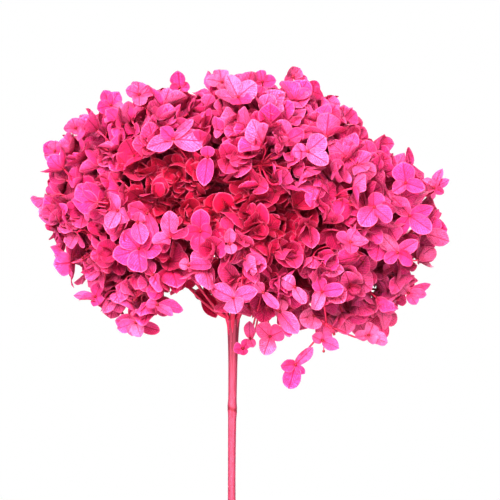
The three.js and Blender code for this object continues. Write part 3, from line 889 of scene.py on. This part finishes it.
class Tree:
    """A material's node tree, cleared, with one method that adds any node."""

    def __init__(self, owner):
        owner.use_nodes = True
        self.owner = owner
        self.nodes = owner.node_tree.nodes
        self.links = owner.node_tree.links
        self.nodes.clear()

    def node(self, kind, settings=None, values=None, output=0):
        """Adds a node, sets its settings, then its sockets, and gives back one of its outputs."""
        made = self.nodes.new(kind)
        for key, value in (settings or {}).items():
            setattr(made, key, value)
        for key, value in (values or {}).items():
            if isinstance(value, Sock):
                self.links.new(value.socket, made.inputs[key])
            else:
                made.inputs[key].default_value = value
        return Sock(self, made.outputs[output])

    def mix(self, share, first, second):
        """first where the share is 0 and second where it is 1, as colours."""
        settings = {"data_type": "RGBA", "clamp_factor": True}
        return self.node("ShaderNodeMix", settings, {0: share, 6: first, 7: second}, 2)

    def noise(self, vector, scale, detail=2.0, roughness=0.5):
        values = {"Vector": vector, "Scale": scale, "Detail": detail, "Roughness": roughness}
        return self.node("ShaderNodeTexNoise", None, values)

    def split(self, vector):
        first = self.node("ShaderNodeSeparateXYZ", None, {0: vector})
        return [Sock(self, output) for output in first.socket.node.outputs]

    def join(self, x, y, z):
        return self.node("ShaderNodeCombineXYZ", None, {0: x, 1: y, 2: z})

    def uv(self):
        return self.node("ShaderNodeUVMap", {"uv_map": "surface"})

    def place(self):
        return self.node("ShaderNodeTexCoord", None, None, 3)

    def marks(self):
        return self.split(self.node("ShaderNodeAttribute", {"attribute_name": "marks"}, None, 1))

    def bump(self, height, strength, distance):
        values = {"Height": height, "Strength": strength, "Distance": distance}
        return self.node("ShaderNodeBump", None, values)

    def surface(self, body, roughness, more):
        values = {"Base Color": body, "Roughness": roughness, **more}
        return self.node("ShaderNodeBsdfPrincipled", None, values)

    def blend(self, share, first, second):
        """The first shader where the share is 0 and the second where it is 1."""
        return self.node("ShaderNodeMixShader", None, {0: share, 1: first, 2: second})

    def cells(self, vector, scale, feature="F1"):
        return self.node("ShaderNodeTexVoronoi", {"feature": feature}, {"Vector": vector, "Scale": scale})

    def finish(self, shader, kind="ShaderNodeOutputMaterial"):
        self.links.new(shader.socket, self.nodes.new(kind).inputs[0])
        return self.owner


def new_tree(name):
    return Tree(bpy.data.materials.new(name))


def colour(r, g, b):
    return (r, g, b, 1.0)


# ---- Finishes ----
def sepal_finish():
    """Dyed dry sepal: deeper at the claw, with a midrib, slanting side veins and a fine net between them.
    Its margin is lightened as a painted highlight, and painted shade turns it darker crimson and takes
    away its paler tone further inside the head. Thin enough for light to pass."""
    tree = new_tree("dyed_sepal")
    along, across, _ = tree.split(tree.uv())
    side = ((across - 0.5) * 2.0).abs()
    tone, rim, shade_depth = tree.marks()
    place = tree.place()
    mottle = tree.noise(place, 420.0, 3.0, 0.65)
    drift = tree.noise(place, 45.0, 2.0)
    wander = tree.noise(tree.join(along * 3.0, across * 4.0, tone * 40.0), 2.0, 2.0) - 0.5
    slanted = along - side * 0.62 + wander * 0.10
    branches = 1.0 - (slanted * (6.5 * math.pi)).math("SINE").abs().step(0.0, 0.42)
    midrib = 1.0 - (side + along * 0.02).step(0.01, 0.10)
    cells = tree.cells(tree.join(across * 2.0, along * 1.6, tone * 30.0), 8.0, "DISTANCE_TO_EDGE")
    net = 1.0 - cells.step(0.0, 0.10)
    veins = midrib.max(branches * 0.9).max(net * 0.85)
    # Crimson for the mottle and the claw, and for the painted shade further inside the head.
    crimson_and_painted_shade = colour(0.70, 0.003, 0.085)
    rosy = colour(0.92, 0.074, 0.41)
    pale = colour(0.97, 0.330, 0.62)
    # The paler tone at random, taken away further inside the head as painted shade.
    pale_tone_less_painted_shade = (tone.step(0.25, 0.9) * 0.75 + drift * 0.25) * (1.0 - shade_depth * 1.3).max(0.0)
    body = tree.mix(pale_tone_less_painted_shade, rosy, pale)
    # Painted shade: darker crimson further inside the head.
    body = tree.mix(shade_depth.step(0.25, 0.8) * 0.94, body, crimson_and_painted_shade)
    body = tree.mix(mottle.step(0.35, 0.7) * 0.34, body, crimson_and_painted_shade)
    claw = (1.0 - along.step(0.0, 0.4)) * 0.6
    body = tree.mix(claw, body, crimson_and_painted_shade)
    body = tree.mix(veins * 0.95, body, colour(0.34, 0.001, 0.04))
    # Painted highlight: the margin lightened to pale pink, as edges that catch the light.
    body = tree.mix(rim.step(0.82, 1.0) * 0.4, body, colour(0.97, 0.34, 0.58))
    more = {
        "Specular IOR Level": 0.4,
        "Sheen Weight": 0.06,
        "Sheen Roughness": 0.45,
        "Normal": tree.bump(veins * -1.0 + mottle * 0.5, 0.8, 0.0006),
    }
    surface = tree.surface(body, 0.45 + mottle * 0.2, more)
    through = tree.node("ShaderNodeBsdfTranslucent", None, {"Color": colour(0.97, 0.008, 0.30)})
    return tree.finish(tree.blend(0.40 - veins * 0.22, surface, through))


def stalk_finish():
    """Dyed stalk: streaked crimson pink, and wine red where the tone is high, as on the small buds."""
    tree = new_tree("dyed_stalk")
    around, along, _ = tree.split(tree.uv())
    tone, _, _ = tree.marks()
    streak = tree.noise(tree.join(around * 5.0, along * 60.0, tone * 9.0), 2.0, 3.0)
    fleck = tree.noise(tree.place(), 900.0, 2.0)
    body = tree.mix(streak.step(0.3, 0.7), colour(0.42, 0.012, 0.055), colour(0.62, 0.035, 0.13))
    body = tree.mix(tone.step(0.3, 0.9), body, colour(0.20, 0.004, 0.02))
    body = tree.mix(fleck.step(0.62, 0.74) * 0.3, body, colour(0.74, 0.14, 0.26))
    more = {"Normal": tree.bump(streak, 0.3, 0.0003)}
    return tree.finish(tree.surface(body, 0.45 + streak * 0.25, more))


def stem_finish():
    """Dyed woody stem: long streaks, pale pores, a dark scar at the node and painted shade in the furrows
    at the fork.
    """
    tree = new_tree("dyed_stem")
    around, height, _ = tree.split(tree.uv())
    turn = around * (2 * math.pi)
    circle_x, circle_y = turn.math("COSINE"), turn.math("SINE")
    streak = tree.noise(tree.join(circle_x * 2.2, circle_y * 2.2, height * 26.0), 3.0, 4.0, 0.6)
    fine = tree.noise(tree.join(circle_x * 7.0, circle_y * 7.0, height * 60.0), 3.0, 3.0, 0.6)
    pores = tree.cells(tree.join(circle_x * 1.2, circle_y * 1.2, height * 150.0), 2.2)
    dark = colour(0.19, 0.016, 0.040)
    mid = colour(0.29, 0.040, 0.082)
    light = colour(0.36, 0.078, 0.130)
    body = tree.mix(streak.step(0.34, 0.62), dark, mid)
    body = tree.mix(fine.step(0.45, 0.7) * 0.7, body, light)
    node = FORK[2] - NODE_BELOW_FORK
    slant = height - node + circle_x * (0.9 * MM)
    scar = 1.0 - slant.abs().step(0.4 * MM, 1.6 * MM)
    body = tree.mix(scar * 0.9, body, colour(0.16, 0.006, 0.02))
    ridges = (turn * float(RIDGES) + RIDGE_TURN).math("COSINE")
    # Painted shade: darker in the furrows between the ridges near the fork, with no pores there.
    painted_furrow_shade = (1.0 - ridges.step(-1.0, -0.1)) * height.step(FORK[2] - 45 * MM, FORK[2])
    body = tree.mix(painted_furrow_shade * 0.85, body, colour(0.20, 0.010, 0.035))
    lenticels = (1.0 - pores.step(0.06, 0.13)) * (1.0 - painted_furrow_shade)
    body = tree.mix(lenticels * 0.55, body, colour(0.86, 0.42, 0.50))
    relief = streak * 0.6 + fine * 0.4 + lenticels * 0.5
    more = {"Specular IOR Level": 0.4, "Normal": tree.bump(relief, 0.5, 0.0004)}
    return tree.finish(tree.surface(body, 0.42 + fine * 0.3, more))


def glass_finish():
    """Clear soda glass with a breath of green, slightly wavy from blowing, with a few tiny seeds, and
    painted shade where the wall is seen edge-on.
    """
    tree = new_tree("clear_glass")
    place = tree.place()
    waves = tree.noise(place, 24.0, 1.0)
    seed = 1.0 - tree.cells(place, 60.0).step(0.02, 0.06)
    _, _, height = tree.split(place)
    tint = tree.mix(height.step(14 * MM, 0.0), colour(0.83, 0.875, 0.855), colour(0.88, 0.93, 0.91))
    # Painted shade: darker towards the outline where the wall is seen edge-on, for the dark edges that
    # refraction gives.
    edge = tree.node("ShaderNodeLayerWeight", None, {"Blend": 0.5}, 1)
    tint = tree.mix(edge, tint, colour(0.30, 0.36, 0.34))
    relief = tree.bump(waves + seed * 0.2, 0.12, 0.002)
    more = {"IOR": 1.5, "Transmission Weight": 1.0, "Normal": relief}
    return tree.finish(tree.surface(tint, 0.01 + seed * 0.1, more))


def floor_finish():
    """Pale matte paper that runs out into the white of the surroundings."""
    tree = new_tree("pale_paper")
    place = tree.place()
    x, y, _ = tree.split(place)
    away = (x * x + y * y).math("SQRT")
    grain = tree.noise(place, 40.0, 3.0)
    body = tree.mix(grain, colour(0.60, 0.60, 0.605), colour(0.64, 0.64, 0.64))
    paper = tree.surface(body, 0.85, {})
    glow = tree.node("ShaderNodeEmission", None, {"Color": colour(1, 1, 1), "Strength": 1.0})
    return tree.finish(tree.blend(away.step(0.35, 1.05), paper, glow))


# ---- Stage ----
def make_floor():
    """A round pale floor at the jar's foot, as rings round a middle point."""
    sides, radius = 128, 1.15
    angle = np.linspace(0, 2 * math.pi, sides, endpoint=False)
    rings = np.array([0.15, 0.4, 0.8, 1.0])[:, None] * radius
    level = np.full((len(rings), sides), jar_low[2] - 0.2 * MM)
    grid = np.stack([rings * np.cos(angle), rings * np.sin(angle), level], -1)
    points = np.concatenate([[[0, 0, level[0, 0]]], grid.reshape(-1, 3)])
    here, beside = ring_points(len(rings), sides)
    middle = np.stack([np.zeros(sides, int), here[0], beside[0]], -1)
    quads = np.stack([here, here + sides, beside + sides, beside], -1).reshape(-1, 4)
    mesh = bpy.data.meshes.new("floor")
    mesh.from_pydata(points.tolist(), [], middle.tolist() + quads.tolist())
    mesh.materials.append(floor_finish())
    put("floor", mesh)


def make_surroundings():
    """White behind everything, and for the light a soft tent: a little brighter low down than above."""
    world = bpy.data.worlds.new("studio")
    bpy.context.scene.world = world
    tree = Tree(world)
    _, _, up = tree.split(tree.node("ShaderNodeTexCoord", None, None, 0))
    tent = tree.mix(up.step(-0.9, 0.9), colour(0.93, 0.93, 0.94), colour(0.84, 0.84, 0.84))
    light = tree.node("ShaderNodeBackground", None, {"Color": tent, "Strength": 0.66})
    white = tree.node("ShaderNodeBackground", None, {"Color": colour(1, 1, 1), "Strength": 1.0})
    straight_on, scattered, through = (
        tree.node("ShaderNodeLightPath", output=name)
        for name in ("Is Camera Ray", "Is Diffuse Ray", "Is Transmission Ray")
    )
    seen = straight_on.max(through * (1.0 - scattered))
    tree.finish(tree.blend(seen, light, white), "ShaderNodeOutputWorld")


def aim(thing, place, direction):
    """Sets a lamp or camera at a place, looking in a direction, with its top upwards."""
    thing.location = place
    thing.rotation_euler = Vector(direction.tolist()).to_track_quat("-Z", "Y").to_euler()


def make_light(name, place, size, power):
    """A square soft box that faces the head."""
    light = bpy.data.lights.new(name, "AREA")
    light.shape = "SQUARE"
    light.size = size
    light.energy = power
    aim(put(name, light), np.array(place), HEAD_CENTRE - place)


def make_camera():
    """A long lens, level with the head, that takes in the head and the upper stem but not the jar."""
    data = bpy.data.cameras.new("camera")
    data.lens = 150
    data.sensor_width = 36
    camera = put("camera", data)
    view_width = 287 * MM
    target = np.array([FORK[0] + 10.1 * MM, 0.0, JAR_HEIGHT + 151.5 * MM])
    elevation = math.radians(2.0)
    distance = view_width / 2 / (data.sensor_width / 2 / data.lens)
    back = np.array([0.0, -math.cos(elevation), math.sin(elevation)])
    aim(camera, target + back * distance, -back)
    data.clip_start, data.clip_end = 0.05, 20
    bpy.context.scene.camera = camera


# ---- Everything ----
def build():
    rng = np.random.default_rng(SEED)
    sepal, stalk = sepal_finish(), stalk_finish()
    cymes = lay_head(rng)
    for index, cyme in enumerate(cymes):
        number = f"{index + 1:02d}"
        node = f"cyme_{number}"
        make_piece(f"florets_{number}", [sepals_of(cyme["florets"], rng)], sepal, node)
        make_piece(f"stalks_{number}", stalks_of(cyme, rng), stalk, node)
    for number in range(RAYS + 1):
        carried = [cyme for cyme in cymes if ray_of(cyme) == number]
        node = f"ray_{number + 1}"
        make_piece(f"branches_{number + 1}", ray_parts(number, carried), stalk, node)
    make_piece("woody_stem", [stem_part()], stem_finish(), "stem")
    make_piece("glass_jar", [jar_part()], glass_finish(), "jar", crease=35)


build()
make_floor()
make_surroundings()
make_light("key", (-0.35, -1.25, 0.90), 0.75, 76)
make_light("fill", (0.5, -1.3, 0.40), 0.9, 22)
make_light("back", (0.45, 1.30, 0.85), 1.0, 40)
make_camera()
bpy.context.scene.view_settings.view_transform = "Standard"
bpy.context.scene.view_settings.gamma = 0.74
bpy.context.scene.cycles.diffuse_bounces = 12
